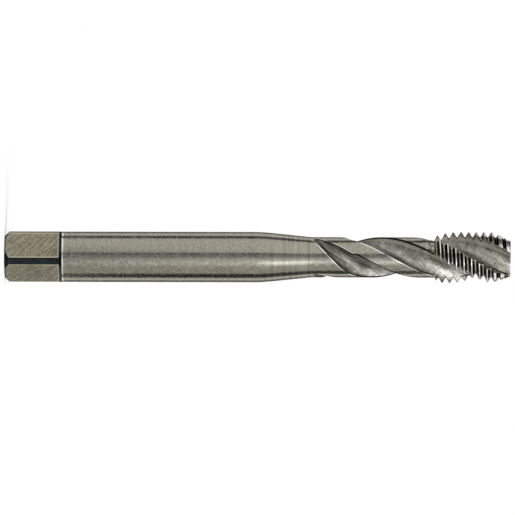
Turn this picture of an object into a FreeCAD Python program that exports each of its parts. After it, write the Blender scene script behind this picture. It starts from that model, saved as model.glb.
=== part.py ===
# A machine tap with spiral flutes: one piece of high-speed steel, turned, then ground.
# Its axis is +Z. The driving square is at the bottom, the end face of the shank is at z = 0,
# and the thread is at the top. Lengths are in millimetres and angles in degrees.
# Angles round the axis start at +X, which a flat of the square faces, and grow towards +Y.
import FreeCAD, Part
import math
import os

# Whole tool
overall_length = 100.0

# Shank and its driving square
shank_diameter = 10.0
shank_chamfer = 0.9          # at 45 degrees, on the end of the shank
square_across_flats = 8.0
square_length = 11.0         # length of the flats
square_wall_lean = 20.0      # how far the wall at the end of a flat leans back
square_wall_corner = 0.35    # radius where a flat meets that wall
flats_in_square = 4

# Cone from the shank down to the neck
cone_start = 51.0            # height at which the shank would turn into the cone with no blend
cone_length = 9.6
cone_blend = 1.8             # how far the blend reaches along the shank from that height
neck_diameter = 8.0

# Thread
thread_diameter = 10.0       # nominal size
crest_allowance = 0.05       # the crests stand this much over the nominal size, on the diameter
thread_pitch = 1.5
thread_length = 15.1         # from the back of the thread to the tip
thread_angle = 60.0          # between the flanks
crest_width = 0.19
root_width = 0.19
thread_back_lean = 30.0      # the back of the first thread leans this far from square
thread_turn = 179.0          # where the groove crosses the height one pitch behind the thread
lead_length = 3.7            # tapered threads at the tip
tip_diameter = 7.6

# Flutes
flute_count = 3
flute_helix_angle = 34.0     # at the nominal diameter, right-hand
flute_radius = 3.5           # round section, square to the axis
core_diameter = 4.74         # what the flutes leave at the centre
flute_turn = 91.3            # where the first flute lies at the tip
run_out_start = 68.9         # height at which the flutes begin to climb out
run_out_slope = 0.24         # climb of the flute's floor along the axis
run_out_ease = 1.0           # length over which the climb begins
run_out_swing = 16.0         # turn towards the cutting face for each millimetre of climb

# Second grind along the cutting side of each flute, which hollows the face below the teeth
rake_radius = 1.2
rake_depth = 0.29            # how far it reaches past the flute's wall
rake_direction = 42.5        # of that reach, seen from the middle of the flute's section
rake_start = 69.7            # height at which the grind begins to climb out
rake_slope = 0.6
rake_ease = 0.2

# Centres that the tool is ground between
centre_angle = 60.0
shank_centre_diameter = 3.35
shank_centre_pilot = 1.6
tip_centre_diameter = 1.9
tip_centre_pilot = 0.8
centre_pilot_depth = 1.2     # of the small hole, past the cone

clearance = 0.5              # how far a cutter reaches past what it cuts
points_per_turn = 12         # on the line that a flute's cutter follows
sweep_tolerance = 0.001      # how close the swept face keeps to its section
sweep_angle_tolerance = 1.0
sweep_degree = 5             # highest degree of the swept face

shank_radius = shank_diameter / 2
neck_radius = neck_diameter / 2
crest_radius = (thread_diameter + crest_allowance) / 2
thread_back = overall_length - thread_length
lead = math.pi * thread_diameter / math.tan(math.radians(flute_helix_angle))


def vector(radius, angle, height):
    turned = math.radians(angle)
    return FreeCAD.Vector(radius * math.cos(turned), radius * math.sin(turned), height)


def half_plane_solid(edges):
    """Turn a closed outline in the XZ plane, with one side on the axis, round the axis."""
    face = Part.Face(Part.Wire(edges))
    return face.revolve(FreeCAD.Vector(0, 0, 0), FreeCAD.Vector(0, 0, 1), 360)


def lines(points):
    corners = [FreeCAD.Vector(x, 0, z) for x, z in points]
    return [Part.LineSegment(a, b).toShape() for a, b in zip(corners, corners[1:])]


def blank():
    """The turned body: chamfer, shank, blended cone, neck, and the thread's outside."""
    cone_slope = (shank_radius - neck_radius) / cone_length
    cone_angle = math.atan(cone_slope)
    blend_start = FreeCAD.Vector(shank_radius, 0, cone_start - cone_blend)
    blend_end = FreeCAD.Vector(shank_radius - cone_blend * math.sin(cone_angle), 0,
                               cone_start + cone_blend * math.cos(cone_angle))
    blend_radius = cone_blend / math.tan(cone_angle / 2)
    blend_middle = FreeCAD.Vector(shank_radius - blend_radius * (1 - math.cos(cone_angle / 2)), 0,
                                  blend_start.z + blend_radius * math.sin(cone_angle / 2))
    back_rise = (crest_radius - neck_radius) * math.tan(math.radians(thread_back_lean))
    below = lines([(0, 0), (shank_radius - shank_chamfer, 0), (shank_radius, shank_chamfer),
                   (blend_start.x, blend_start.z)])
    blend = Part.Arc(blend_start, blend_middle, blend_end).toShape()
    above = lines([(blend_end.x, blend_end.z), (neck_radius, cone_start + cone_length),
                   (neck_radius, thread_back), (crest_radius, thread_back + back_rise),
                   (crest_radius, overall_length - lead_length),
                   (tip_diameter / 2, overall_length), (0, overall_length), (0, 0)])
    return half_plane_solid(below + [blend] + above)


def flat_cutter(distance, angle):
    """What grinds one flat of the square, at this distance from the axis and angle round it."""
    reach = shank_radius + clearance
    lean = math.radians(square_wall_lean)
    wall_top = square_length + (reach - distance) * math.tan(lean)
    setback = square_wall_corner * math.tan(math.pi / 4 - lean / 2)
    corner_start = FreeCAD.Vector(distance, 0, square_length - setback)
    corner_centre = corner_start + FreeCAD.Vector(square_wall_corner, 0, 0)
    corner_middle = corner_centre + FreeCAD.Vector(math.cos(3 * math.pi / 4 + lean / 2), 0,
                                                   math.sin(3 * math.pi / 4 + lean / 2)) * square_wall_corner
    corner_end = corner_centre + FreeCAD.Vector(-math.sin(lean), 0, math.cos(lean)) * square_wall_corner
    corner = Part.Arc(corner_start, corner_middle, corner_end).toShape()
    rest = lines([(corner_end.x, corner_end.z), (reach, wall_top), (reach, -clearance),
                  (distance, -clearance), (corner_start.x, corner_start.z)])
    face = Part.Face(Part.Wire([corner] + rest))
    face.translate(FreeCAD.Vector(0, -reach, 0))
    cutter = face.extrude(FreeCAD.Vector(0, 2 * reach, 0))
    cutter.rotate(FreeCAD.Vector(0, 0, 0), FreeCAD.Vector(0, 0, 1), angle)
    return cutter


def square_cutters():
    """Cutters for the flats, and for the narrow flats that take off the corners between them."""
    flat_distance = square_across_flats / 2
    step = 360 / flats_in_square
    edge_angle = math.degrees(math.acos(flat_distance / shank_radius))
    corner_distance = shank_radius * math.cos(math.radians(step / 2 - edge_angle))
    flats = [flat_cutter(flat_distance, i * step) for i in range(flats_in_square)]
    corners = [flat_cutter(corner_distance, (i + 0.5) * step) for i in range(flats_in_square)]
    return flats + corners


def thread_groove():
    """The space between the threads, as one helical solid that runs out past both ends."""
    flank = math.tan(math.radians(thread_angle / 2))
    mouth = (thread_pitch - crest_width) / 2
    depth = (mouth - root_width / 2) / flank
    root_radius = crest_radius - depth
    outer_radius = crest_radius + clearance
    outer_half = mouth + clearance * flank
    start = thread_back - thread_pitch
    turns = math.ceil((thread_length + 2 * thread_pitch) / thread_pitch)
    path = Part.makeLongHelix(thread_pitch, turns * thread_pitch, root_radius, 0, False)
    section = Part.Wire(lines([(root_radius, -root_width / 2), (outer_radius, -outer_half),
                               (outer_radius, outer_half), (root_radius, root_width / 2),
                               (root_radius, -root_width / 2)]))
    groove = Part.Wire(path.Edges).makePipeShell([section], True, True)
    groove.rotate(FreeCAD.Vector(0, 0, 0), FreeCAD.Vector(0, 0, 1), thread_turn)
    groove.translate(FreeCAD.Vector(0, 0, start))
    return groove


def helical_cutter(section_radius, centre_radius, turn, start, slope, ease, swing):
    """A round section carried along the lead. Below the start height it climbs out of the tool."""
    floor_radius = centre_radius - section_radius
    rise_needed = shank_radius + clearance - floor_radius
    bottom = start - math.sqrt((rise_needed / slope + ease) ** 2 - ease ** 2)
    top = overall_length + clearance
    steps = math.ceil((top - bottom) / lead * points_per_turn)
    points = []
    for i in range(steps + 1):
        height = bottom + (top - bottom) * i / steps
        rise = slope * (math.hypot(max(start - height, 0), ease) - ease)
        angle = turn + (height - overall_length) / lead * 360 - swing * rise
        points.append(vector(centre_radius + rise, angle, height))
    path = Part.BSplineCurve()
    path.interpolate(points)
    section = Part.Circle(points[0], FreeCAD.Vector(0, 0, 1), section_radius)
    sweep = Part.BRepOffsetAPI.MakePipeShell(Part.Wire(path.toShape()))
    sweep.setBiNormalMode(FreeCAD.Vector(0, 0, 1))
    sweep.setTolerance(sweep_tolerance, sweep_tolerance, math.radians(sweep_angle_tolerance))
    sweep.setMaxDegree(sweep_degree)
    sweep.add(Part.Wire(section.toShape()), False, False)
    sweep.build()
    sweep.makeSolid()
    return sweep.shape()


def flute_cutter(turn):
    return helical_cutter(flute_radius, core_diameter / 2 + flute_radius, turn,
                          run_out_start, run_out_slope, run_out_ease, run_out_swing)


def rake_cutter(turn):
    """The second grind of the flute at this turn. Its section stands out of the flute's wall."""
    flute_centre = core_diameter / 2 + flute_radius
    offset = flute_radius + rake_depth - rake_radius
    across = offset * math.sin(math.radians(rake_direction))
    inwards = offset * math.cos(math.radians(rake_direction))
    centre_radius = math.hypot(flute_centre - inwards, across)
    lag = math.degrees(math.atan2(across, flute_centre - inwards))
    return helical_cutter(rake_radius, centre_radius, turn - lag, rake_start, rake_slope, rake_ease, 0)


def centre_hole(mouth_diameter, pilot_diameter, height, inwards):
    """A centre in an end face: a cone and a small hole behind it, going up or down the axis."""
    cone_depth = (mouth_diameter - pilot_diameter) / 2 / math.tan(math.radians(centre_angle / 2))
    flare = clearance * math.tan(math.radians(centre_angle / 2))
    outline = lines([(0, -clearance), (mouth_diameter / 2 + flare, -clearance),
                     (pilot_diameter / 2, cone_depth),
                     (pilot_diameter / 2, cone_depth + centre_pilot_depth),
                     (0, cone_depth + centre_pilot_depth), (0, -clearance)])
    hole = half_plane_solid(outline)
    if inwards < 0:
        hole.rotate(FreeCAD.Vector(0, 0, 0), FreeCAD.Vector(1, 0, 0), 180)
    hole.translate(FreeCAD.Vector(0, 0, height))
    return hole


def tap():
    body = blank()
    body = body.cut(square_cutters())
    body = body.cut(thread_groove())
    for i in range(flute_count):
        body = body.cut(flute_cutter(flute_turn + i * 360 / flute_count))
    for i in range(flute_count):
        body = body.cut(rake_cutter(flute_turn + i * 360 / flute_count))
    body = body.cut(centre_hole(shank_centre_diameter, shank_centre_pilot, 0, 1))
    body = body.cut(centre_hole(tip_centre_diameter, tip_centre_pilot, overall_length, -1))
    return body


shape = tap()
os.makedirs("parts", exist_ok=True)
shape.exportStep("parts/tap.step")
print("tap: solids", len(shape.Solids), "faces", len(shape.Faces), "valid", shape.isValid(),
      "volume", round(shape.Volume, 2), "lead", round(lead, 2))
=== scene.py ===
import bmesh
import bpy
import math
from mathutils import Matrix, Vector


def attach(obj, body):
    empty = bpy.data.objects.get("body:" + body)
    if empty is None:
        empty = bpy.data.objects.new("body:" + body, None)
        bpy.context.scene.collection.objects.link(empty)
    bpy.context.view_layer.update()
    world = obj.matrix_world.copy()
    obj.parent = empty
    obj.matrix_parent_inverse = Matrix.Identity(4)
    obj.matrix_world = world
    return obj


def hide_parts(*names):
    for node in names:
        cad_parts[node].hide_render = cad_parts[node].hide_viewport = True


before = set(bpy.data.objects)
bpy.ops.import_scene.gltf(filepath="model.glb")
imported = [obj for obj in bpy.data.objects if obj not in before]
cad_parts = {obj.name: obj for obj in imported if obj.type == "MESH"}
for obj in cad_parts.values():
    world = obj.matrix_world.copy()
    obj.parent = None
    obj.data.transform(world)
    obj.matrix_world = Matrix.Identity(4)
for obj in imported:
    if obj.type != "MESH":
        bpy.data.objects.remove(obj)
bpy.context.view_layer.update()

mm = 0.001

# The tap stands on its driving square, with its axis on Z. Lengths are in mm.
tapSizes = {
    "length": 100.0,
    "shankRadius": 5.0,
    "endChamfer": 0.9,
    "neckRadius": 4.0,
    "coneStart": 51.0,
    "coneEnd": 60.6,
    "coneBlend": 1.8,
    "crestRadius": 5.025,
    "threadBack": 84.9,
    "threadBackRise": 0.68,
    "leadLength": 3.7,
    "tipRadius": 3.8,
    "sides": 144,
    "blendSteps": 6,
    "shankRings": (6, 11, 16, 24, 32, 40, 46),      # heights at which the long faces are divided
    "coneRing": 3.0,           # below the end of the cone
    "neckRings": (64, 68, 72, 76, 80),
    "threadRings": (88, 90, 92, 94),
    "mergeWithin": 0.004,
    "smoothAngle": 25.0,       # degrees
}


def clearSelection():
    bpy.ops.object.select_all(action="DESELECT")


def workOn(piece):
    clearSelection()
    piece.select_set(True)
    bpy.context.view_layer.objects.active = piece


def startCircle(name, sides, radius, location):
    clearSelection()
    bpy.ops.mesh.primitive_circle_add(vertices=sides, radius=radius * mm, fill_type="NGON",
                                      location=[v * mm for v in location])
    piece = bpy.context.object
    piece.name = name
    return piece


def dropPlace(piece):          # the place goes into the mesh, the object goes to the origin
    workOn(piece)
    bpy.ops.object.transform_apply(location=True, rotation=True, scale=True)


def faceOutwards(piece):       # a twisted solid can come out of the recalculation inside out
    workOn(piece)
    bpy.ops.object.mode_set(mode="EDIT")
    bpy.ops.mesh.select_all(action="SELECT")
    bpy.ops.mesh.normals_make_consistent(inside=False)
    if bmesh.from_edit_mesh(piece.data).calc_volume(signed=True) < 0:
        bpy.ops.mesh.flip_normals()
    bpy.ops.object.mode_set(mode="OBJECT")


def turnUp(piece, stations):   # pulls the selected end face up through (height, radius) steps
    workOn(piece)
    bpy.ops.object.mode_set(mode="EDIT")
    bpy.ops.mesh.select_all(action="SELECT")
    height, radius = stations[0]
    for nextHeight, nextRadius in stations[1:]:
        bpy.ops.mesh.extrude_region_move(
            TRANSFORM_OT_translate={"value": (0, 0, (nextHeight - height) * mm)})
        k = nextRadius / radius
        if k != 1:
            bpy.ops.transform.resize(value=(k, k, 1), center_override=(0, 0, nextHeight * mm))
        height, radius = nextHeight, nextRadius
    bpy.ops.object.mode_set(mode="OBJECT")
    faceOutwards(piece)


def cutWith(piece, cutter):    # boolean difference; the cut faces take the cutter's material
    workOn(piece)
    cut = piece.modifiers.new("cut", "BOOLEAN")
    cut.operation = "DIFFERENCE"
    cut.solver = "EXACT"
    cut.material_mode = "TRANSFER"
    cut.object = cutter
    bpy.ops.object.modifier_apply(modifier=cut.name)
    bpy.data.objects.remove(cutter)


def selectCorners(piece, chosen):              # and the edges between them
    for v in piece.data.vertices:
        v.select = chosen(v.co)
    for e in piece.data.edges:
        e.select = all(piece.data.vertices[i].select for i in e.vertices)
    for f in piece.data.polygons:
        f.select = False


def linearColour(hexText):     # sRGB hex to linear RGBA
    parts = [int(hexText[i:i + 2], 16) / 255 for i in (1, 3, 5)]
    return [p / 12.92 if p <= 0.04045 else ((p + 0.055) / 1.055) ** 2.4 for p in parts] + [1.0]


def addNode(tree, kind, settings=None, inputs=None, links=None):
    node = tree.nodes.new(kind)
    for key, value in (settings or {}).items():
        setattr(node, key, value)
    for key, value in (inputs or {}).items():
        node.inputs[key].default_value = value
    for key, source in (links or {}).items():
        tree.links.new(source, node.inputs[key])
    return node


def startSteel(look):          # bare steel, whose glint is drawn out across the grinding lines
    material = bpy.data.materials.new(look["name"])
    material.use_nodes = True
    tree = material.node_tree
    shader = tree.nodes["Principled BSDF"]
    shader.inputs["Metallic"].default_value = look["metallic"]
    shader.inputs["Anisotropic"].default_value = look["anisotropic"]
    shader.inputs["Anisotropic Rotation"].default_value = look["glintTurn"]
    return material, tree, shader


def partPlace(tree):           # place on the tap in mm, and how far out from the axis that is
    seat = addNode(tree, "ShaderNodeTexCoord")
    place = addNode(tree, "ShaderNodeMapping", inputs={"Scale": (1000, 1000, 1000)},
                    links={"Vector": seat.outputs["Object"]}).outputs[0]
    flat = addNode(tree, "ShaderNodeMapping", inputs={"Scale": (1, 1, 0)}, links={"Vector": place}).outputs[0]
    out = addNode(tree, "ShaderNodeVectorMath", {"operation": "LENGTH"}, links={0: flat}).outputs["Value"]
    return {"place": place, "flat": flat, "out": out, "normal": seat.outputs["Normal"],
            "parts": addNode(tree, "ShaderNodeSeparateXYZ", links={0: place}).outputs}


def flutePlace(tree, part):    # place in the flutes' own section, which turns with the helix
    turned = addNode(tree, "ShaderNodeMath", {"operation": "ARCTAN2"},
                     links={0: part["parts"]["Y"], 1: part["parts"]["X"]})
    below = addNode(tree, "ShaderNodeMath", {"operation": "SUBTRACT"}, {0: fluteSizes["start"]},
                    {1: part["parts"]["Z"]})
    below = addNode(tree, "ShaderNodeMath", {"operation": "MAXIMUM"}, {1: 0.0}, {0: below.outputs[0]})
    rise = addNode(tree, "ShaderNodeMath", {"operation": "MULTIPLY_ADD"}, {2: fluteSizes["ease"] ** 2},
                   {0: below.outputs[0], 1: below.outputs[0]})
    rise = addNode(tree, "ShaderNodeMath", {"operation": "SQRT"}, links={0: rise.outputs[0]})
    rise = addNode(tree, "ShaderNodeMath", {"operation": "MULTIPLY_ADD"},
                   {1: fluteSizes["slope"], 2: -fluteSizes["slope"] * fluteSizes["ease"]}, {0: rise.outputs[0]})
    perMm = 2 * math.pi / fluteSizes["lead"]
    turned = addNode(tree, "ShaderNodeMath", {"operation": "MULTIPLY_ADD"}, {1: -perMm},
                     {0: part["parts"]["Z"], 2: turned.outputs[0]})
    turned = addNode(tree, "ShaderNodeMath", {"operation": "MULTIPLY_ADD"},
                     {1: math.radians(fluteSizes["swing"])}, {0: rise.outputs[0], 2: turned.outputs[0]})
    turned = addNode(tree, "ShaderNodeMath", {"operation": "SUBTRACT"},
                     {1: math.radians(fluteSizes["turn"]) - tapSizes["length"] * perMm}, {0: turned.outputs[0]})
    half = math.pi / fluteSizes["count"]
    turned = addNode(tree, "ShaderNodeMath", {"operation": "WRAP"}, {1: half, 2: -half}, {0: turned.outputs[0]})
    alongX = addNode(tree, "ShaderNodeMath", {"operation": "COSINE"}, links={0: turned.outputs[0]})
    alongX = addNode(tree, "ShaderNodeMath", {"operation": "MULTIPLY"},
                     links={0: alongX.outputs[0], 1: part["out"]})
    middle = addNode(tree, "ShaderNodeMath", {"operation": "ADD"}, {1: fluteSizes["out"]}, {0: rise.outputs[0]})
    alongX = addNode(tree, "ShaderNodeMath", {"operation": "SUBTRACT"},
                     links={0: middle.outputs[0], 1: alongX.outputs[0]})
    alongY = addNode(tree, "ShaderNodeMath", {"operation": "SINE"}, links={0: turned.outputs[0]})
    alongY = addNode(tree, "ShaderNodeMath", {"operation": "MULTIPLY"},
                     links={0: alongY.outputs[0], 1: part["out"]})
    section = addNode(tree, "ShaderNodeCombineXYZ", links={0: alongX.outputs[0], 1: alongY.outputs[0]})
    fromMiddle = addNode(tree, "ShaderNodeVectorMath", {"operation": "LENGTH"}, links={0: section.outputs[0]})
    clear = addNode(tree, "ShaderNodeMath", {"operation": "SUBTRACT"}, {1: fluteSizes["radius"]},
                    {0: fromMiddle.outputs["Value"]})
    fromRake = addNode(tree, "ShaderNodeVectorMath", {"operation": "DISTANCE"},
                       {1: (rakeReach * math.cos(rakeTurned), -rakeReach * math.sin(rakeTurned), 0)},
                       {0: section.outputs[0]})
    rakeStart = addNode(tree, "ShaderNodeMapRange",
                        inputs={"From Min": rakeSizes["start"] - 1, "From Max": rakeSizes["start"],
                                "To Min": rakeSizes["slope"] - rakeSizes["radius"], "To Max": -rakeSizes["radius"]},
                        links={"Value": part["parts"]["Z"]})
    rakeClear = addNode(tree, "ShaderNodeMath", {"operation": "ADD"},
                        links={0: fromRake.outputs["Value"], 1: rakeStart.outputs[0]})
    clear = addNode(tree, "ShaderNodeMath", {"operation": "MINIMUM"},
                    links={0: clear.outputs[0], 1: rakeClear.outputs[0]})
    across = addNode(tree, "ShaderNodeMath", {"operation": "ARCTAN2"},
                     links={0: alongY.outputs[0], 1: alongX.outputs[0]})
    return {"clear": clear.outputs[0], "across": across.outputs[0]}


def finishSteel(tree, shader, look, mottle, marks, covers=(), dull=None):
    # colour, roughness and height from the same two patterns; each cover lays a colour over them
    # and dull adds to the roughness
    both = addNode(tree, "ShaderNodeMix", inputs={0: look["marks"]}, links={2: mottle, 3: marks}).outputs[0]
    spread = addNode(tree, "ShaderNodeMapRange", inputs={"From Min": 0.35, "From Max": 0.65},
                     links={"Value": both})
    colour = addNode(tree, "ShaderNodeMix", {"data_type": "RGBA"},
                     {6: linearColour(look["dark"]), 7: linearColour(look["light"])},
                     {0: spread.outputs[0]}).outputs[2]
    rough = addNode(tree, "ShaderNodeMapRange", inputs={"From Min": 0.3, "From Max": 0.7, "To Min": look["rough"][0],
                                                        "To Max": look["rough"][1]}, links={"Value": mottle})
    if dull:
        rough = addNode(tree, "ShaderNodeMath", {"operation": "ADD"}, links={0: rough.outputs[0], 1: dull})
    for factor, coverHex in covers:
        colour = addNode(tree, "ShaderNodeMix", {"data_type": "RGBA"}, {7: linearColour(coverHex)},
                         {0: factor, 6: colour}).outputs[2]
    bump = addNode(tree, "ShaderNodeBump", inputs={"Strength": 1.0, "Distance": look["depth"] * mm},
                   links={"Height": both})
    around = addNode(tree, "ShaderNodeTangent", {"direction_type": "RADIAL", "axis": "Z"})
    tree.links.new(colour, shader.inputs["Base Color"])
    tree.links.new(rough.outputs[0], shader.inputs["Roughness"])
    tree.links.new(bump.outputs[0], shader.inputs["Normal"])
    tree.links.new(around.outputs[0], shader.inputs["Tangent"])


def cutterMaterial(piece, material):
    piece.data.materials.clear()
    piece.data.materials.append(material)


def makeBlank(s):              # chamfer, shank, blended cone, neck and the thread's outside
    slope = (s["shankRadius"] - s["neckRadius"]) / (s["coneEnd"] - s["coneStart"])
    coneAngle = math.atan(slope)
    blendRadius = s["coneBlend"] / math.tan(coneAngle / 2)
    blend = []
    for i in range(s["blendSteps"] + 1):
        a = coneAngle * i / s["blendSteps"]
        blend.append((s["coneStart"] - s["coneBlend"] + blendRadius * math.sin(a),
                      s["shankRadius"] - blendRadius * (1 - math.cos(a))))
    tip = s["length"] - s["leadLength"]
    stations = [(0, s["shankRadius"] - s["endChamfer"]), (s["endChamfer"], s["shankRadius"])]
    stations += [(z, s["shankRadius"]) for z in s["shankRings"]]
    stations += blend
    stations += [(s["coneEnd"] - s["coneRing"], s["neckRadius"] + s["coneRing"] * slope),
                 (s["coneEnd"], s["neckRadius"])]
    stations += [(z, s["neckRadius"]) for z in (*s["neckRings"], s["threadBack"])]
    stations += [(s["threadBack"] + s["threadBackRise"], s["crestRadius"])]
    stations += [(z, s["crestRadius"]) for z in (*s["threadRings"], tip)]
    stations += [(s["length"], s["tipRadius"])]
    piece = startCircle("tapBody", s["sides"], stations[0][1], (0, 0, 0))
    turnUp(piece, stations)
    dropPlace(piece)
    return piece


squareSizes = {
    "acrossFlats": 8.0,
    "length": 11.0,
    "wallLean": 20.0,          # degrees
    "wallCorner": 0.35,        # radius left by the wheel's edge
    "cornerRadius": 4.95,      # how far out the narrow corner flats stand
    "cornerSteps": 4,
    "reach": 0.5,              # how far a cutter stands out of the steel
}


def flatCutter(distance, angle, s, material):
    reach = tapSizes["shankRadius"] + s["reach"]
    clearSelection()
    width = reach - distance
    middle = (distance + width / 2) * mm
    bpy.ops.mesh.primitive_cube_add(size=1, location=(middle, 0, (s["length"] - s["reach"]) / 2 * mm),
                                    scale=(width * mm, 2 * reach * mm, (s["length"] + s["reach"]) * mm))
    cutter = bpy.context.object
    dropPlace(cutter)
    selectCorners(cutter, lambda place: place.x > middle and place.z > 0)
    bpy.ops.object.mode_set(mode="EDIT")
    bpy.ops.transform.translate(value=(0, 0, width * math.tan(math.radians(s["wallLean"])) * mm))
    bpy.ops.mesh.select_all(action="DESELECT")
    bpy.ops.object.mode_set(mode="OBJECT")
    selectCorners(cutter, lambda place: place.x < middle and place.z > 0)
    bpy.ops.object.mode_set(mode="EDIT")
    bpy.ops.mesh.bevel(offset=s["wallCorner"] * mm, segments=s["cornerSteps"])
    bpy.ops.object.mode_set(mode="OBJECT")
    faceOutwards(cutter)
    cutter.rotation_euler.z = math.radians(angle)
    dropPlace(cutter)
    cutterMaterial(cutter, material)
    return cutter


threadSizes = {
    "pitch": 1.5,
    "angle": 60.0,
    "crestWidth": 0.19,
    "rootWidth": 0.19,
    "turn": 179.0,             # where the groove crosses the height one pitch behind the thread
    "turns": 13,
    "stepsPerTurn": 144,
    "reach": 0.1,
}


def grooveCutter(s):           # the groove's section, carried round and up by the Screw modifier
    flank = math.tan(math.radians(s["angle"] / 2))
    mouth = (s["pitch"] - s["crestWidth"]) / 2
    depth = (mouth - s["rootWidth"] / 2) / flank
    rootRadius = tapSizes["crestRadius"] - depth
    outerRadius = tapSizes["crestRadius"] + s["reach"]
    outerHalf = mouth + s["reach"] * flank
    clearSelection()
    bpy.ops.mesh.primitive_plane_add(size=1, location=((rootRadius + outerRadius) / 2 * mm, 0, 0),
                                     rotation=(math.pi / 2, 0, 0))
    cutter = bpy.context.object
    cutter.scale = ((outerRadius - rootRadius) * mm, 2 * outerHalf * mm, 1)
    dropPlace(cutter)
    selectCorners(cutter, lambda place: place.x < (rootRadius + outerRadius) / 2 * mm)
    bpy.ops.object.mode_set(mode="EDIT")
    bpy.ops.transform.resize(value=(1, 1, s["rootWidth"] / 2 / outerHalf), center_override=(0, 0, 0))
    bpy.ops.mesh.select_all(action="SELECT")
    bpy.ops.mesh.delete(type="ONLY_FACE")
    bpy.ops.object.mode_set(mode="OBJECT")
    screw = cutter.modifiers.new("screw", "SCREW")
    screw.axis = "Z"
    screw.angle = 2 * math.pi
    screw.screw_offset = s["pitch"] * mm
    screw.iterations = s["turns"]
    screw.steps = screw.render_steps = s["stepsPerTurn"]
    screw.use_smooth_shade = False
    workOn(cutter)
    bpy.ops.object.modifier_apply(modifier="screw")
    bpy.ops.object.mode_set(mode="EDIT")
    bpy.ops.mesh.select_all(action="SELECT")
    bpy.ops.mesh.remove_doubles(threshold=1e-7)
    bpy.ops.mesh.select_all(action="DESELECT")
    bpy.ops.mesh.select_mode(type="EDGE")
    bpy.ops.mesh.select_non_manifold(extend=False)
    bpy.ops.mesh.fill_holes(sides=4)
    bpy.ops.mesh.select_mode(type="VERT")
    bpy.ops.object.mode_set(mode="OBJECT")
    faceOutwards(cutter)
    cutter.rotation_euler.z = math.radians(s["turn"])
    cutter.location.z = (tapSizes["threadBack"] - s["pitch"]) * mm
    dropPlace(cutter)
    cutterMaterial(cutter, threadSteel)
    return cutter


fluteSizes = {
    "count": 3,
    "lead": 46.58,             # height of one whole turn
    "core": 2.37,              # radius left at the middle
    "radius": 3.5,
    "turn": 91.3,              # where the first flute lies at the tip
    "start": 68.9,             # below this height it climbs out
    "slope": 0.24,
    "ease": 1.0,
    "swing": 16.0,             # degrees for each mm of climb
    "sides": 96,
    "step": 0.5,
    "reach": 0.5,
}

rakeSizes = {                  # the second grind, which hollows the cutting side of each flute
    "lead": fluteSizes["lead"],
    "radius": 1.2,
    "depth": 0.29,             # past the flute's wall
    "direction": 42.5,         # degrees
    "start": 69.7,
    "slope": 0.6,
    "ease": 0.2,
    "swing": 0.0,
    "sides": 48,
    "step": 0.5,
    "reach": 0.5,
}

fluteSizes["out"] = fluteSizes["core"] + fluteSizes["radius"]
rakeReach = fluteSizes["radius"] + rakeSizes["depth"] - rakeSizes["radius"]
rakeTurned = math.radians(rakeSizes["direction"])
rakeMiddle = (fluteSizes["out"] - rakeReach * math.cos(rakeTurned), rakeReach * math.sin(rakeTurned))
rakeSizes["out"] = math.hypot(*rakeMiddle)
rakeSizes["turn"] = fluteSizes["turn"] - math.degrees(math.atan2(rakeMiddle[1], rakeMiddle[0]))


def helicalCutter(name, s):    # a disc that climbs, turns and moves out, as the wheel did
    riseNeeded = tapSizes["shankRadius"] + s["reach"] - s["out"] + s["radius"]
    bottom = s["start"] - math.sqrt((riseNeeded / s["slope"] + s["ease"]) ** 2 - s["ease"] ** 2)
    top = tapSizes["length"] + s["reach"]
    steps = math.ceil((top - bottom) / s["step"])
    places = []
    for i in range(steps + 1):
        height = bottom + (top - bottom) * i / steps
        rise = s["slope"] * (math.hypot(max(s["start"] - height, 0), s["ease"]) - s["ease"])
        angle = s["turn"] + (height - tapSizes["length"]) / s["lead"] * 360 - s["swing"] * rise
        places.append((s["out"] + rise, math.radians(angle), height))
    out, angle, height = places[0]
    cutter = startCircle(name, s["sides"], s["radius"],
                         (out * math.cos(angle), out * math.sin(angle), height))
    dropPlace(cutter)
    bpy.ops.object.mode_set(mode="EDIT")
    bpy.ops.mesh.select_all(action="SELECT")
    for nextOut, nextAngle, nextHeight in places[1:]:
        bpy.ops.mesh.extrude_region_move(
            TRANSFORM_OT_translate={"value": ((nextOut - out) * math.cos(angle) * mm,
                                              (nextOut - out) * math.sin(angle) * mm,
                                              (nextHeight - height) * mm)})
        bpy.ops.transform.rotate(value=-(nextAngle - angle), orient_axis="Z", center_override=(0, 0, 0))
        out, angle, height = nextOut, nextAngle, nextHeight
    bpy.ops.object.mode_set(mode="OBJECT")
    faceOutwards(cutter)
    return cutter


centreSizes = {
    "shankMouth": 3.35,
    "shankPilot": 1.6,
    "tipMouth": 1.9,
    "tipPilot": 0.8,
    "angle": 60.0,
    "pilotDepth": 1.2,
    "sides": 48,
    "reach": 0.5,
}


def centreCutter(mouth, pilot, height, direction, s):
    flank = math.tan(math.radians(s["angle"] / 2))
    depth = (mouth - pilot) / 2 / flank
    stations = [(-s["reach"], mouth / 2 + s["reach"] * flank), (depth, pilot / 2),
                (depth + s["pilotDepth"], pilot / 2)]
    cutter = startCircle("centreCutter", s["sides"], stations[0][1], (0, 0, -s["reach"]))
    turnUp(cutter, stations)
    if direction < 0:
        cutter.rotation_euler.x = math.pi
    cutter.location.z = (height - s["reach"] * direction) * mm
    dropPlace(cutter)
    cutterMaterial(cutter, shankSteel)
    return cutter


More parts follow.
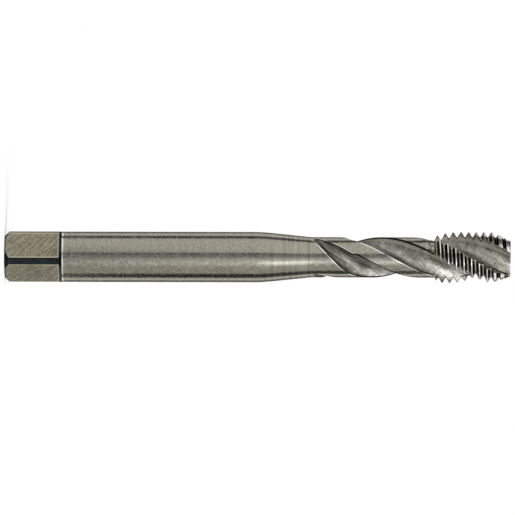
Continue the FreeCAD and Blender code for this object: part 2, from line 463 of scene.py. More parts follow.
steelLooks = {                 # depths, widths and heights are in mm
    "shank": {"name": "cylindrically ground high-speed steel", "metallic": 1.0, "anisotropic": 0.5,
              "glintTurn": 0.25, "dark": "#8d8a7d", "light": "#aba89b", "marks": 0.2, "rough": (0.2, 0.28),
              # edge is a painted highlight; foot is hardening scale and painted shade; the band above the foot is a
              # painted highlight
              "depth": 0.018, "edge": "#f4f1e8", "edgeWidth": 0.26, "edgeAhead": 0.4,
              "edgeStart": (61.4, 62.8), "aheadWidth": 0.27, "aheadStart": (68.9, 69.3), "coneRings": 0.75,
              "foot": "#0f0f0c", "footTop": 11.4, "wallFootHighlightTop": 11.72, "pit": "#55524a", "pitStart": (81.0, 83.0)},
    # the crest's colours are a painted highlight, and groove is painted shade
    "crest": {"name": "ground high-speed steel crest with painted highlight", "metallic": 1.0, "anisotropic": 0.5, "glintTurn": 0.25,
              "dark": "#cbc8be", "light": "#f4f1e8", "marks": 0.5, "rough": (0.2, 0.3), "depth": 0.01,
              "groove": "#171613", "grooveHalf": 0.42, "grooveTop": 4.75},
    "flat": {"name": "surface ground high-speed steel", "metallic": 1.0, "anisotropic": 0.3,
             "glintTurn": 0.0, "dark": "#716d5c", "light": "#a29d88", "marks": 0.5, "rough": (0.24, 0.34),
             # edge is a painted highlight, used at the corners and the foot; wall is hardening scale and painted
             # shade
             "depth": 0.028, "edge": "#cbc3a2", "edgeWidth": 0.2, "wall": "#100f0b", "wallTurn": (0.1, 0.4),
             "rimTop": (0.14, 0.3), "foot": 0.45, "footBelow": (0.56, 0.42)},
    "scale": {"name": "hardening scale on high-speed steel", "metallic": 1.0, "anisotropic": 0.0,
              "glintTurn": 0.0, "dark": "#151918", "light": "#343a3a", "marks": 0.5, "rough": (0.4, 0.6),
              "depth": 0.02},
    "thread": {"name": "thread ground high-speed steel", "metallic": 1.0, "anisotropic": 0.5,
               "glintTurn": 0.25, "dark": "#8b887c", "light": "#aeab9f", "marks": 0.5, "rough": (0.3, 0.42),
               # flank is painted shade, edge a painted highlight
               "depth": 0.01, "flank": "#171613", "flankOut": (4.12, 4.22, 4.86, 4.98), "darkLead": 3.0,
               "edge": "#d8d5cc", "edgeWidth": 0.2},
    "flute": {"name": "flute ground high-speed steel", "metallic": 1.0, "anisotropic": 0.4,
              "glintTurn": 0.0, "dark": "#6c685d", "light": "#c2c0b8", "marks": 0.65, "rough": (0.28, 0.44),
              "depth": 0.06, "edgeWidth": 0.3, "dullAhead": 0.3},
    "rake": {"name": "hook ground high-speed steel", "metallic": 1.0, "anisotropic": 0.4,
             "glintTurn": 0.0, "dark": "#948f7f", "light": "#c6c2b3", "marks": 0.5, "rough": (0.42, 0.56),
             "depth": 0.03, "edgeWidth": 0.42, "dullAhead": 0.15},
}

fluteShadeAndMarks = {                  # on both grinds of a flute; angles across it are in radians from its middle
    # edge is painted shade along the lands and teeth; the darker tone is painted shade low in the flute and random
    # clouds elsewhere
    "edge": "#0c0b08",
    "edgeTurn": 0.5,           # up to here its width goes over from the cutting side's to the heel's
    "heelWidth": 0.36,
    "heelTurn": 0.3,
    "heelStart": (89.5, 91.5),                      # along the thread
    "outlineWidth": 0.2,       # along each tooth
    "outline": 0.85,
    "shadeAndBlotches": "#4b483d",
    "lowShadeEnd": (67.0, 75.0),
    "lowShadeMost": 0.9,
    "cloudMost": 0.55,
    "dullTurn": (-0.15, -0.45),
    "rippleTurns": (38, -44),  # degrees
}


def ringMarks(tree, part, aroundScale, alongScale, detail):     # from a wheel that runs round the tap
    rings = addNode(tree, "ShaderNodeMapping", inputs={"Scale": (aroundScale, aroundScale, alongScale)},
                    links={"Vector": part["place"]})
    return addNode(tree, "ShaderNodeTexNoise", inputs={"Scale": 1.0, "Detail": detail},
                   links={"Vector": rings.outputs[0]}).outputs[0]


def groovePlace(tree, part):   # how far along the axis the middle of the thread's groove is, in mm
    turned = addNode(tree, "ShaderNodeMath", {"operation": "ARCTAN2"},
                     links={0: part["parts"]["Y"], 1: part["parts"]["X"]})
    turned = addNode(tree, "ShaderNodeMath", {"operation": "MULTIPLY_ADD"},
                     {1: -threadSizes["pitch"] / (2 * math.pi),
                      2: threadSizes["pitch"] * threadSizes["turn"] / 360 - tapSizes["threadBack"]},
                     {0: turned.outputs[0]})
    turned = addNode(tree, "ShaderNodeMath", {"operation": "ADD"},
                     links={0: turned.outputs[0], 1: part["parts"]["Z"]})
    return addNode(tree, "ShaderNodeMath", {"operation": "PINGPONG"}, {1: threadSizes["pitch"] / 2},
                   {0: turned.outputs[0]}).outputs[0]


# Ground between the wheel and a guide: fine rings round the shank, which spread its glint along the
# axis, and a cloudy mottle. The rings are 0.02 mm apart, drawn 0.4 mm apart to show. Where a flute
# runs out, a painted highlight lines the land's edge and painted shade its cutting side. At the foot
# of the square's wall lies a dark ring, partly hardening scale and partly painted shade, and above it
# a painted highlight.
look = steelLooks["shank"]
shankSteel, tree, shader = startSteel(look)
part = partPlace(tree)
height = part["parts"]["Z"]
flute = flutePlace(tree, part)
mottle = addNode(tree, "ShaderNodeTexNoise", inputs={"Scale": 2.2, "Detail": 2.0},
                 links={"Vector": part["place"]}).outputs[0]
rings = ringMarks(tree, part, 0.14, 2.4, 3.0)
ringed = addNode(tree, "ShaderNodeMapRange",
                 inputs={"From Min": tapSizes["coneEnd"] - 0.2, "From Max": tapSizes["coneEnd"] + 0.2,
                         "To Min": look["coneRings"], "To Max": 0.0}, links={"Value": height})
onCone = addNode(tree, "ShaderNodeMath", {"operation": "GREATER_THAN"}, {1: tapSizes["coneStart"] + 1},
                 {0: height})
ringed = addNode(tree, "ShaderNodeMath", {"operation": "MULTIPLY"},
                 links={0: ringed.outputs[0], 1: onCone.outputs[0]})
mottle = addNode(tree, "ShaderNodeMix", links={0: ringed.outputs[0], 2: mottle, 3: rings}).outputs[0]
# painted highlight along the land's edge where each flute runs out
edge = addNode(tree, "ShaderNodeMapRange",
               inputs={"From Min": look["edgeWidth"] * 0.5, "From Max": look["edgeWidth"],
                       "To Min": 1.0, "To Max": 0.0}, links={"Value": flute["clear"]})
side = addNode(tree, "ShaderNodeMapRange",
               inputs={"From Min": -0.2, "From Max": 0.2, "To Min": look["edgeAhead"], "To Max": 1.0},
               links={"Value": flute["across"]})
edge = addNode(tree, "ShaderNodeMath", {"operation": "MULTIPLY"},
               links={0: edge.outputs[0], 1: side.outputs[0]})
runOut = addNode(tree, "ShaderNodeMapRange",
                 inputs={"From Min": look["edgeStart"][0], "From Max": look["edgeStart"][1]},
                 links={"Value": height})
edge = addNode(tree, "ShaderNodeMath", {"operation": "MULTIPLY"},
               links={0: edge.outputs[0], 1: runOut.outputs[0]})
# painted shade along the land's cutting side, in the dark of the foot
ahead = addNode(tree, "ShaderNodeMapRange",
                inputs={"From Min": look["aheadWidth"] * 0.6, "From Max": look["aheadWidth"],
                        "To Min": 1.0, "To Max": 0.0}, links={"Value": flute["clear"]})
cutting = addNode(tree, "ShaderNodeMapRange", inputs={"From Min": -0.1, "From Max": -0.2},
                  links={"Value": flute["across"]})
hooked = addNode(tree, "ShaderNodeMapRange",
                 inputs={"From Min": look["aheadStart"][0], "From Max": look["aheadStart"][1]},
                 links={"Value": height})
cutting = addNode(tree, "ShaderNodeMath", {"operation": "MULTIPLY"},
                  links={0: cutting.outputs[0], 1: hooked.outputs[0]})
ahead = addNode(tree, "ShaderNodeMath", {"operation": "MULTIPLY"},
                links={0: ahead.outputs[0], 1: cutting.outputs[0]})
# painted highlight in a thin band just above the square's wall
wallFootHighlight = addNode(tree, "ShaderNodeMapRange",
               inputs={"From Min": look["wallFootHighlightTop"] - 0.12, "From Max": look["wallFootHighlightTop"],
                       "To Min": 1.0, "To Max": 0.0}, links={"Value": height})
# dark ring below the top of the square's wall: partly hardening scale, partly painted shade
foot = addNode(tree, "ShaderNodeMapRange",
               inputs={"From Min": look["footTop"] - 0.08, "From Max": look["footTop"],
                       "To Min": 1.0, "To Max": 0.0}, links={"Value": height})
nearThread = addNode(tree, "ShaderNodeMapRange",
                     inputs={"From Min": look["pitStart"][0], "From Max": look["pitStart"][1]},
                     links={"Value": height})
pits = addNode(tree, "ShaderNodeTexNoise", inputs={"Scale": 1.6, "Detail": 2.0},
               links={"Vector": part["place"]})
pits = addNode(tree, "ShaderNodeMapRange", inputs={"From Min": 0.5, "From Max": 0.6},
               links={"Value": pits.outputs[0]})
pits = addNode(tree, "ShaderNodeMath", {"operation": "MULTIPLY"},
               links={0: nearThread.outputs[0], 1: pits.outputs[0]})
belowThread = addNode(tree, "ShaderNodeMath", {"operation": "LESS_THAN"}, {1: tapSizes["threadBack"] + 0.5},
                      {0: height})
pits = addNode(tree, "ShaderNodeMath", {"operation": "MULTIPLY"},
               links={0: pits.outputs[0], 1: belowThread.outputs[0]})
finishSteel(tree, shader, look, mottle, rings,
            [(pits.outputs[0], look["pit"]), (edge.outputs[0], look["edge"]), (ahead.outputs[0], look["foot"]),
             (wallFootHighlight.outputs[0], look["edge"]), (foot.outputs[0], look["foot"])])

# The same steel on the crests, painted lighter than the shank as a painted highlight. Where the lead
# has been ground down to the groove's width, a band of painted shade stands for the groove.
look = steelLooks["crest"]
crestSteel, tree, shader = startSteel(look)
part = partPlace(tree)
mottle = addNode(tree, "ShaderNodeTexNoise", inputs={"Scale": 3.0, "Detail": 1.0},
                 links={"Vector": part["place"]}).outputs[0]
# painted shade: a dark band for the thread's groove in the lead
groove = addNode(tree, "ShaderNodeMapRange",
                 inputs={"From Min": look["grooveHalf"] - 0.06, "From Max": look["grooveHalf"],
                         "To Min": 1.0, "To Max": 0.0}, links={"Value": groovePlace(tree, part)})
inLead = addNode(tree, "ShaderNodeMath", {"operation": "LESS_THAN"}, {1: look["grooveTop"]}, {0: part["out"]})
groove = addNode(tree, "ShaderNodeMath", {"operation": "MULTIPLY"},
                 links={0: groove.outputs[0], 1: inLead.outputs[0]})
finishSteel(tree, shader, look, mottle, ringMarks(tree, part, 0.3, 4.0, 1.0),
            [(groove.outputs[0], look["groove"])])

# Ground flat with the face of a cup wheel: straight slanting marks across each flat, 0.5 mm apart,
# over a brownish mottle. Its wall is dark, partly hardening scale and partly painted shade, and its
# rim is dark too; its corners and foot carry a painted highlight.
look = steelLooks["flat"]
flatSteel, tree, shader = startSteel(look)
part = partPlace(tree)
height = part["parts"]["Z"]
mottle = addNode(tree, "ShaderNodeTexNoise", inputs={"Scale": 2.4, "Detail": 2.0},
                 links={"Vector": part["place"]}).outputs[0]
across = addNode(tree, "ShaderNodeVectorMath", {"operation": "DOT_PRODUCT"}, {1: (1.34, 1.34, 1.34)},
                 {0: part["place"]})
along = addNode(tree, "ShaderNodeVectorMath", {"operation": "DOT_PRODUCT"}, {1: (-0.2, -0.2, 0.2)},
                {0: part["place"]})
marks = addNode(tree, "ShaderNodeCombineXYZ", links={0: across.outputs["Value"], 1: along.outputs["Value"]})
marks = addNode(tree, "ShaderNodeTexNoise", inputs={"Scale": 1.0, "Detail": 1.0},
                links={"Vector": marks.outputs[0]}).outputs[0]
# the leaning wall is dark by its slope: partly hardening scale, partly painted shade
upright = addNode(tree, "ShaderNodeSeparateXYZ", links={0: part["normal"]})
upright = addNode(tree, "ShaderNodeMath", {"operation": "ABSOLUTE"}, links={0: upright.outputs["Z"]})
wall = addNode(tree, "ShaderNodeMapRange",
               inputs={"From Min": look["wallTurn"][0], "From Max": look["wallTurn"][1]},
               links={"Value": upright.outputs[0]})
# painted highlight along the corners of each flat
sideways = [addNode(tree, "ShaderNodeMath", {"operation": "ABSOLUTE"},
                    links={0: part["parts"][axis]}).outputs[0]
            for axis in ("X", "Y")]
corner = addNode(tree, "ShaderNodeMath", {"operation": "ADD"}, links={0: sideways[0], 1: sideways[1]})
cornerSum = squareSizes["cornerRadius"] * math.sqrt(2)
corner = addNode(tree, "ShaderNodeMapRange",
                 inputs={"From Min": cornerSum - look["edgeWidth"] * 1.2,
                         "From Max": cornerSum - look["edgeWidth"] * 0.7}, links={"Value": corner.outputs[0]})
rim = addNode(tree, "ShaderNodeMapRange",
              inputs={"From Min": look["rimTop"][0], "From Max": look["rimTop"][1], "To Min": 1.0, "To Max": 0.0},
              links={"Value": height})
# painted highlight along the foot of each flat
foot = addNode(tree, "ShaderNodeMapRange",
               inputs={"From Min": squareSizes["length"] - look["footBelow"][0],
                       "From Max": squareSizes["length"] - look["footBelow"][1], "To Max": look["foot"]},
               links={"Value": height})
finishSteel(tree, shader, look, mottle, marks,
            [(corner.outputs[0], look["edge"]), (foot.outputs[0], look["edge"]), (wall.outputs[0], look["wall"]),
             (rim.outputs[0], look["wall"])])

# Left from hardening where the grinding of the flats didn't reach: a blue-black, dull, grainy skin.
look = steelLooks["scale"]
scaleSteel, tree, shader = startSteel(look)
part = partPlace(tree)
mottle = addNode(tree, "ShaderNodeTexNoise", inputs={"Scale": 3.0, "Detail": 3.0},
                 links={"Vector": part["place"]}).outputs[0]
grain = addNode(tree, "ShaderNodeTexNoise", inputs={"Scale": 1.2, "Detail": 2.0},
                links={"Vector": part["place"]}).outputs[0]
finishSteel(tree, shader, look, mottle, grain)

# Ground by a ribbed wheel: bright at the root, with painted shade that turns the flanks black, and a
# painted highlight along the flutes.
look = steelLooks["thread"]
threadSteel, tree, shader = startSteel(look)
part = partPlace(tree)
mottle = addNode(tree, "ShaderNodeTexNoise", inputs={"Scale": 3.0, "Detail": 1.0},
                 links={"Vector": part["place"]}).outputs[0]
# painted shade on the flanks, and over the whole groove in the lead
rootEnd, flankStart, flankEnd, crestStart = look["flankOut"]
aboveRoot = addNode(tree, "ShaderNodeMapRange", inputs={"From Min": rootEnd, "From Max": flankStart},
                    links={"Value": part["out"]})
inLead = addNode(tree, "ShaderNodeMath", {"operation": "GREATER_THAN"},
                 {1: tapSizes["length"] - look["darkLead"]}, {0: part["parts"]["Z"]})
aboveRoot = addNode(tree, "ShaderNodeMath", {"operation": "MAXIMUM"},
                    links={0: aboveRoot.outputs[0], 1: inLead.outputs[0]})
belowCrest = addNode(tree, "ShaderNodeMapRange",
                     inputs={"From Min": flankEnd, "From Max": crestStart, "To Min": 1.0, "To Max": 0.0},
                     links={"Value": part["out"]})
flank = addNode(tree, "ShaderNodeMath", {"operation": "MULTIPLY"},
                links={0: aboveRoot.outputs[0], 1: belowCrest.outputs[0]})
# painted highlight on the teeth along the flutes
edge = addNode(tree, "ShaderNodeMapRange",
               inputs={"From Min": look["edgeWidth"] * 0.6, "From Max": look["edgeWidth"],
                       "To Min": 0.8, "To Max": 0.0}, links={"Value": flutePlace(tree, part)["clear"]})
finishSteel(tree, shader, look, mottle, ringMarks(tree, part, 0.3, 4.0, 1.0),
            [(flank.outputs[0], look["flank"]), (edge.outputs[0], look["edge"])])


def fluteSteelOf(look, shadeAndMarks):  # marks across the flute from the wheel's grit, and long dull streaks
    material, tree, shader = startSteel(look)
    part = partPlace(tree)
    height = part["parts"]["Z"]
    flute = flutePlace(tree, part)
    across = addNode(tree, "ShaderNodeMath", {"operation": "MULTIPLY"}, {1: fluteSizes["radius"]},
                     {0: flute["across"]})
    section = addNode(tree, "ShaderNodeCombineXYZ", links={0: across.outputs[0], 1: height})
    ripples = []
    for turn in shadeAndMarks["rippleTurns"]:
        turned = addNode(tree, "ShaderNodeMapping", inputs={"Rotation": (0, 0, math.radians(turn))},
                         links={"Vector": section.outputs[0]})
        turned = addNode(tree, "ShaderNodeMapping", inputs={"Scale": (0.5, 2.4, 1)},
                         links={"Vector": turned.outputs[0]})
        ripples.append(addNode(tree, "ShaderNodeTexNoise", inputs={"Scale": 1.0, "Detail": 2.0, "Distortion": 0.3},
                               links={"Vector": turned.outputs[0]}).outputs[0])
    ripples = addNode(tree, "ShaderNodeMath", {"operation": "ADD"}, links={0: ripples[0], 1: ripples[1]})
    ripples = addNode(tree, "ShaderNodeMapRange", inputs={"From Min": 0.2, "From Max": 1.8},
                      links={"Value": ripples.outputs[0]}).outputs[0]
    streaks = addNode(tree, "ShaderNodeMapping", inputs={"Scale": (1.5, 0.14, 1)},
                      links={"Vector": section.outputs[0]})
    streaks = addNode(tree, "ShaderNodeTexNoise", inputs={"Scale": 1.0, "Detail": 3.0, "Distortion": 0.6},
                      links={"Vector": streaks.outputs[0]}).outputs[0]
    # how far the land's edge is along the wall: its height over the slope at which the wall meets it
    facing = addNode(tree, "ShaderNodeVectorMath", {"operation": "DOT_PRODUCT"},
                     links={0: part["normal"], 1: part["flat"]})
    facing = addNode(tree, "ShaderNodeMath", {"operation": "DIVIDE"},
                     links={0: facing.outputs["Value"], 1: part["out"]})
    facing = addNode(tree, "ShaderNodeMath", {"operation": "MULTIPLY"},
                     links={0: facing.outputs[0], 1: facing.outputs[0]})
    facing = addNode(tree, "ShaderNodeMath", {"operation": "SUBTRACT"}, {0: 1.0}, {1: facing.outputs[0]})
    facing = addNode(tree, "ShaderNodeMath", {"operation": "SQRT"}, links={0: facing.outputs[0]})
    slope = addNode(tree, "ShaderNodeMath", {"operation": "MAXIMUM"}, {1: 0.2}, {0: facing.outputs[0]})
    land = addNode(tree, "ShaderNodeMapRange",
                   inputs={"From Min": tapSizes["coneStart"], "From Max": tapSizes["coneEnd"],
                           "To Min": tapSizes["shankRadius"], "To Max": tapSizes["neckRadius"]},
                   links={"Value": height})
    toEdge = addNode(tree, "ShaderNodeMath", {"operation": "SUBTRACT"},
                     links={0: land.outputs[0], 1: part["out"]})
    toEdge = addNode(tree, "ShaderNodeMath", {"operation": "DIVIDE"},
                     links={0: toEdge.outputs[0], 1: slope.outputs[0]})
    width = addNode(tree, "ShaderNodeMapRange",
                    inputs={"From Min": -shadeAndMarks["edgeTurn"], "From Max": shadeAndMarks["edgeTurn"],
                            "To Min": look["edgeWidth"], "To Max": shadeAndMarks["heelWidth"]},
                    links={"Value": flute["across"]})
    toEdge = addNode(tree, "ShaderNodeMath", {"operation": "DIVIDE"},
                     links={0: toEdge.outputs[0], 1: width.outputs[0]})
    edge = addNode(tree, "ShaderNodeMapRange",
                   inputs={"From Min": 0.6, "From Max": 1.0, "To Min": 1.0, "To Max": 0.0},
                   links={"Value": toEdge.outputs[0]})
    # painted shade along the land's edge behind the thread, and along the heel near the tip, but not out on the
    # teeth
    behind = addNode(tree, "ShaderNodeMath", {"operation": "LESS_THAN"}, {1: tapSizes["threadBack"]}, {0: height})
    heel = addNode(tree, "ShaderNodeMath", {"operation": "GREATER_THAN"}, {1: shadeAndMarks["heelTurn"]},
                   {0: flute["across"]})
    nearTip = addNode(tree, "ShaderNodeMapRange",
                      inputs={"From Min": shadeAndMarks["heelStart"][0], "From Max": shadeAndMarks["heelStart"][1]},
                      links={"Value": height})
    heel = addNode(tree, "ShaderNodeMath", {"operation": "MULTIPLY"},
                   links={0: heel.outputs[0], 1: nearTip.outputs[0]})
    edgeShadeZone = addNode(tree, "ShaderNodeMath", {"operation": "MAXIMUM"},
                    links={0: behind.outputs[0], 1: heel.outputs[0]})
    within = addNode(tree, "ShaderNodeMath", {"operation": "GREATER_THAN"}, {1: -0.1}, {0: toEdge.outputs[0]})
    edgeShadeZone = addNode(tree, "ShaderNodeMath", {"operation": "MINIMUM"},
                    links={0: edgeShadeZone.outputs[0], 1: within.outputs[0]})
    edge = addNode(tree, "ShaderNodeMath", {"operation": "MULTIPLY"},
                   links={0: edge.outputs[0], 1: edgeShadeZone.outputs[0]})
    # and painted shade along the outline of each tooth: how far the wall's point is from the flank of the groove
    flankSlope = math.tan(math.radians(threadSizes["angle"] / 2))
    mouth = (threadSizes["pitch"] - threadSizes["crestWidth"]) / 2
    halfGroove = addNode(tree, "ShaderNodeMath", {"operation": "MULTIPLY_ADD"},
                         {1: -flankSlope, 2: tapSizes["crestRadius"] * flankSlope - mouth}, {0: part["out"]})
    toFlank = addNode(tree, "ShaderNodeMath", {"operation": "ADD"},
                      links={0: groovePlace(tree, part), 1: halfGroove.outputs[0]})
    outline = addNode(tree, "ShaderNodeMapRange",
                      inputs={"From Min": shadeAndMarks["outlineWidth"] * 0.5, "From Max": shadeAndMarks["outlineWidth"],
                              "To Min": shadeAndMarks["outline"], "To Max": 0.0}, links={"Value": toFlank.outputs[0]})
    toothed = addNode(tree, "ShaderNodeMath", {"operation": "GREATER_THAN"}, {1: tapSizes["threadBack"]},
                      {0: height})
    outline = addNode(tree, "ShaderNodeMath", {"operation": "MULTIPLY"},
                      links={0: outline.outputs[0], 1: toothed.outputs[0]})
    # painted shade low in the flute, broken up by the streaks
    low = addNode(tree, "ShaderNodeMapRange",
                  inputs={"From Min": shadeAndMarks["lowShadeEnd"][0], "From Max": shadeAndMarks["lowShadeEnd"][1],
                          "To Min": shadeAndMarks["lowShadeMost"], "To Max": 0.0}, links={"Value": height})
    shadeAndBlotches = addNode(tree, "ShaderNodeMapRange", inputs={"From Min": 0.75, "From Max": 0.35},
                   links={"Value": streaks})
    shadeAndBlotches = addNode(tree, "ShaderNodeMath", {"operation": "MULTIPLY"},
                   links={0: low.outputs[0], 1: shadeAndBlotches.outputs[0]})
    cloud = addNode(tree, "ShaderNodeTexNoise", inputs={"Scale": 0.22, "Detail": 2.0, "Distortion": 0.8},
                    links={"Vector": part["place"]})
    cloud = addNode(tree, "ShaderNodeMapRange",
                    inputs={"From Min": 0.5, "From Max": 0.7, "To Max": shadeAndMarks["cloudMost"]},
                    links={"Value": cloud.outputs[0]})
    dull = addNode(tree, "ShaderNodeMapRange",
                   inputs={"From Min": shadeAndMarks["dullTurn"][0], "From Max": shadeAndMarks["dullTurn"][1],
                           "To Min": 0.0, "To Max": look["dullAhead"]}, links={"Value": flute["across"]})
    finishSteel(tree, shader, look, streaks, ripples,
                [(cloud.outputs[0], shadeAndMarks["shadeAndBlotches"]), (shadeAndBlotches.outputs[0], shadeAndMarks["shadeAndBlotches"]),
                 (edge.outputs[0], shadeAndMarks["edge"]), (outline.outputs[0], shadeAndMarks["edge"])], dull.outputs[0])
    return material


# Ground from the solid by a formed wheel that runs along the helix: bright and rippled, with painted
# shade in the corner under each land. The ripples are 0.05 mm apart, drawn 0.4 mm apart to show.
fluteSteel = fluteSteelOf(steelLooks["flute"], fluteShadeAndMarks)
rakeSteel = fluteSteelOf(steelLooks["rake"], fluteShadeAndMarks)
print("tap:", len(steelLooks), "steels")

tap = makeBlank(tapSizes)
cutterMaterial(tap, shankSteel)
tap.data.materials.append(crestSteel)
tap.data.materials.append(scaleSteel)
for face in tap.data.polygons:
    if face.center.z < tapSizes["endChamfer"] * mm and face.normal.z > -0.9:
        face.material_index = 2
    if tapSizes["threadBack"] * mm < face.center.z < (tapSizes["length"] - 0.01) * mm:
        face.material_index = 1
for i in range(4):
    cutWith(tap, flatCutter(squareSizes["acrossFlats"] / 2, i * 90, squareSizes, flatSteel))
for i in range(4):
    cutWith(tap, flatCutter(squareSizes["cornerRadius"], i * 90 + 45, squareSizes, scaleSteel))
print("tap: blank and driving square,", len(tap.data.polygons), "faces")
cutWith(tap, grooveCutter(threadSizes))
print("tap: thread cut,", len(tap.data.polygons), "faces")
for name, sizes, steel in (("rakeCutter", rakeSizes, rakeSteel), ("fluteCutter", fluteSizes, fluteSteel)):
    for i in range(fluteSizes["count"]):
        cutter = helicalCutter(name, sizes)
        cutterMaterial(cutter, steel)
        cutter.rotation_euler.z = 2 * math.pi * i / fluteSizes["count"]
        dropPlace(cutter)
        cutWith(tap, cutter)
print("tap: flutes cut,", len(tap.data.polygons), "faces")
cutWith(tap, centreCutter(centreSizes["shankMouth"], centreSizes["shankPilot"], 0, 1, centreSizes))
cutWith(tap, centreCutter(centreSizes["tipMouth"], centreSizes["tipPilot"], tapSizes["length"], -1, centreSizes))
workOn(tap)
bpy.ops.object.mode_set(mode="EDIT")
bpy.ops.mesh.select_all(action="SELECT")
bpy.ops.mesh.remove_doubles(threshold=tapSizes["mergeWithin"] * mm)
bpy.ops.object.mode_set(mode="OBJECT")
faceOutwards(tap)
# the cuts leave corners in line along an edge, and splitting the faces there can leave a stray sliver
bpy.ops.object.mode_set(mode="EDIT")
bpy.ops.mesh.select_all(action="SELECT")
bpy.ops.mesh.quads_convert_to_tris(quad_method="BEAUTY", ngon_method="BEAUTY")
bpy.ops.mesh.select_all(action="DESELECT")
bpy.ops.mesh.select_mode(type="EDGE")
bpy.ops.mesh.select_non_manifold(extend=False, use_wire=False, use_boundary=True, use_multi_face=False,
                                 use_non_contiguous=False, use_verts=False)
bpy.ops.mesh.select_mode(type="VERT")
bpy.ops.mesh.delete(type="ONLY_FACE")
bpy.ops.mesh.select_all(action="SELECT")
bpy.ops.mesh.delete_loose()
bpy.ops.object.mode_set(mode="OBJECT")
bpy.ops.object.shade_smooth_by_angle(angle=math.radians(tapSizes["smoothAngle"]))
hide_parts("tap")
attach(tap, "root")
print("tap: finished,", len(tap.data.polygons), "faces")

cameraAngle = -55.0            # where the camera stands round the tap, from +X towards +Y
viewSizes = {"lens": 400.0, "sensor": 36.0, "frameWidth": 101.98, "aimHeight": 50.0, "below": 0.07, "roll": 0.12}
studioLook = {
    "lampColour": (0.9, 0.93, 1.0),
    "lampHeight": 50.0,        # what the lamps look at
    "floor": "#f4f4f4",
    "floorSize": 800,
    "floorLift": 0.22,         # for the camera alone
    "world": "#ffffff",
    "worldLight": 0.75,        # on the tap; the camera and the steel's reflections see 1
    "feltRough": 0.9,
}


def around(angle, out, height):
    turned = math.radians(cameraAngle + angle)
    return Vector((out * math.cos(turned) * mm, out * math.sin(turned) * mm, height * mm))


def faceAt(piece, target):     # turns a lamp or card so that its -Z looks at the target
    piece.rotation_euler = (target - piece.location).to_track_quat("-Z", "Y").to_euler()


def addCamera(s):
    back = around(0, 1000, 0)
    up = around(-90, 1000, 0)
    distance = s["frameWidth"] * s["lens"] / s["sensor"]
    aim = Vector((0, 0, s["aimHeight"] * mm)) - up * s["below"] * mm
    turn = Matrix((Vector((0, 0, 1)), up, back)).transposed()
    turn = (turn @ Matrix.Rotation(math.radians(s["roll"]), 3, "Z")).to_euler()
    bpy.ops.object.camera_add(location=aim + back * distance * mm, rotation=turn)
    camera = bpy.context.object
    camera.data.lens = s["lens"]
    camera.data.clip_end = 5
    bpy.context.scene.camera = camera


addCamera(viewSizes)

# angle round the tap from the camera (up in the picture is -), distance, height, width and length in mm,
# power in W
lampList = [
    ("keyLamp", 52, 600, 520, 620, 640, 2.7),
    ("stripLamp", 27, 600, 190, 130, 170, 0.14),
]
for name, angle, out, height, width, length, power in lampList:
    bpy.ops.object.light_add(type="AREA", location=around(angle, out, height))
    lamp = bpy.context.object
    lamp.name = name
    lamp.data.shape = "RECTANGLE"
    lamp.data.size = width * mm
    lamp.data.size_y = length * mm
    lamp.data.energy = power
    lamp.data.color = studioLook["lampColour"]
    faceAt(lamp, Vector((0, 0, studioLook["lampHeight"] * mm)))

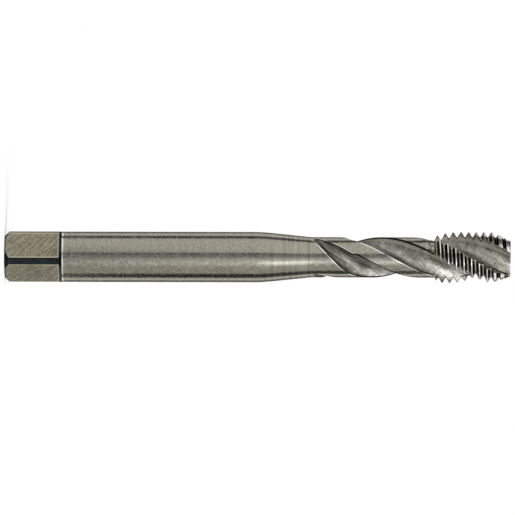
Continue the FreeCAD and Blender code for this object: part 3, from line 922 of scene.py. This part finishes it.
# Felt cards stand off the tap, out of the camera's sight, and give its round parts their dark lines:
# angle, distance, height of the middle, width and length in mm, tilt from upright, colour
cardList = [
    ("upperCard", -102, 120, 100, 38, 200, 0, "#17120a"),
    ("topCard", -100, 320, 300, 300, 200, 40, "#46412f"),
    ("frontCard", -15, 120, 58, 15, 115, 0, "#4c5058"),
    ("frontGrey", -4, 122, 58, 36, 115, 0, "#bcc0ca"),
    ("lowerGrey", 60, 122, 58, 80, 115, 0, "#e0dfda"),
    ("lowerCard", 95, 120, 49, 62, 96, 0, "#0e0d09"),
    ("upperRim", -150, 120, 68, 60, 135, 0, "#6e6b60"),
    ("lowerRim", 148, 120, 68, 66, 135, 0, "#7d7a6e"),
    ("floorCard", 20, 190, 1.5, 360, 290, 90, "#5c5845"),
]
for name, angle, out, height, width, length, tilt, colour in cardList:
    felt = bpy.data.materials.new(name + " felt")
    felt.use_nodes = True
    feltShader = felt.node_tree.nodes["Principled BSDF"]
    feltShader.inputs["Base Color"].default_value = linearColour(colour)
    feltShader.inputs["Roughness"].default_value = studioLook["feltRough"]
    clearSelection()
    bpy.ops.mesh.primitive_plane_add(size=1, location=(0, 0, 0))
    card = bpy.context.object
    card.name = name
    card.scale = (width * mm, length * mm, 1)
    dropPlace(card)
    card.rotation_euler = (math.radians(90 - tilt), 0, math.radians(cameraAngle + angle + 90))
    card.location = around(angle, out, height)
    card.data.materials.append(felt)
    card.visible_camera = card.visible_diffuse = card.visible_shadow = False
    dropPlace(card)

clearSelection()
bpy.ops.mesh.primitive_plane_add(size=studioLook["floorSize"] * mm, location=(0, 0, 0))
floor = bpy.context.object
floor.name = "floor"
floorMaterial = bpy.data.materials.new("white card")
floorMaterial.use_nodes = True
floorShader = floorMaterial.node_tree.nodes["Principled BSDF"]
floorShader.inputs["Base Color"].default_value = linearColour(studioLook["floor"])
floorShader.inputs["Roughness"].default_value = 0.8
floorTree = floorMaterial.node_tree
toCamera = addNode(floorTree, "ShaderNodeLightPath").outputs["Is Camera Ray"]
lift = addNode(floorTree, "ShaderNodeMath", {"operation": "MULTIPLY"}, {1: studioLook["floorLift"]}, {0: toCamera})
floorTree.links.new(lift.outputs[0], floorShader.inputs["Emission Strength"])
floorShader.inputs["Emission Color"].default_value = linearColour("#ffffff")
floor.data.materials.append(floorMaterial)

world = bpy.data.worlds.new("studio")
bpy.context.scene.world = world
world.use_nodes = True
worldTree = world.node_tree
background = worldTree.nodes["Background"]
background.inputs["Color"].default_value = linearColour(studioLook["world"])
path = addNode(worldTree, "ShaderNodeLightPath")
seen = addNode(worldTree, "ShaderNodeMath", {"operation": "MAXIMUM"},
               links={0: path.outputs["Is Camera Ray"], 1: path.outputs["Is Glossy Ray"]})
level = addNode(worldTree, "ShaderNodeMapRange", inputs={"To Min": studioLook["worldLight"], "To Max": 1.0},
                links={"Value": seen.outputs[0]})
worldTree.links.new(level.outputs[0], background.inputs["Strength"])

bpy.context.scene.view_settings.view_transform = "Standard"
print("studio: camera, lamps, cards and floor")
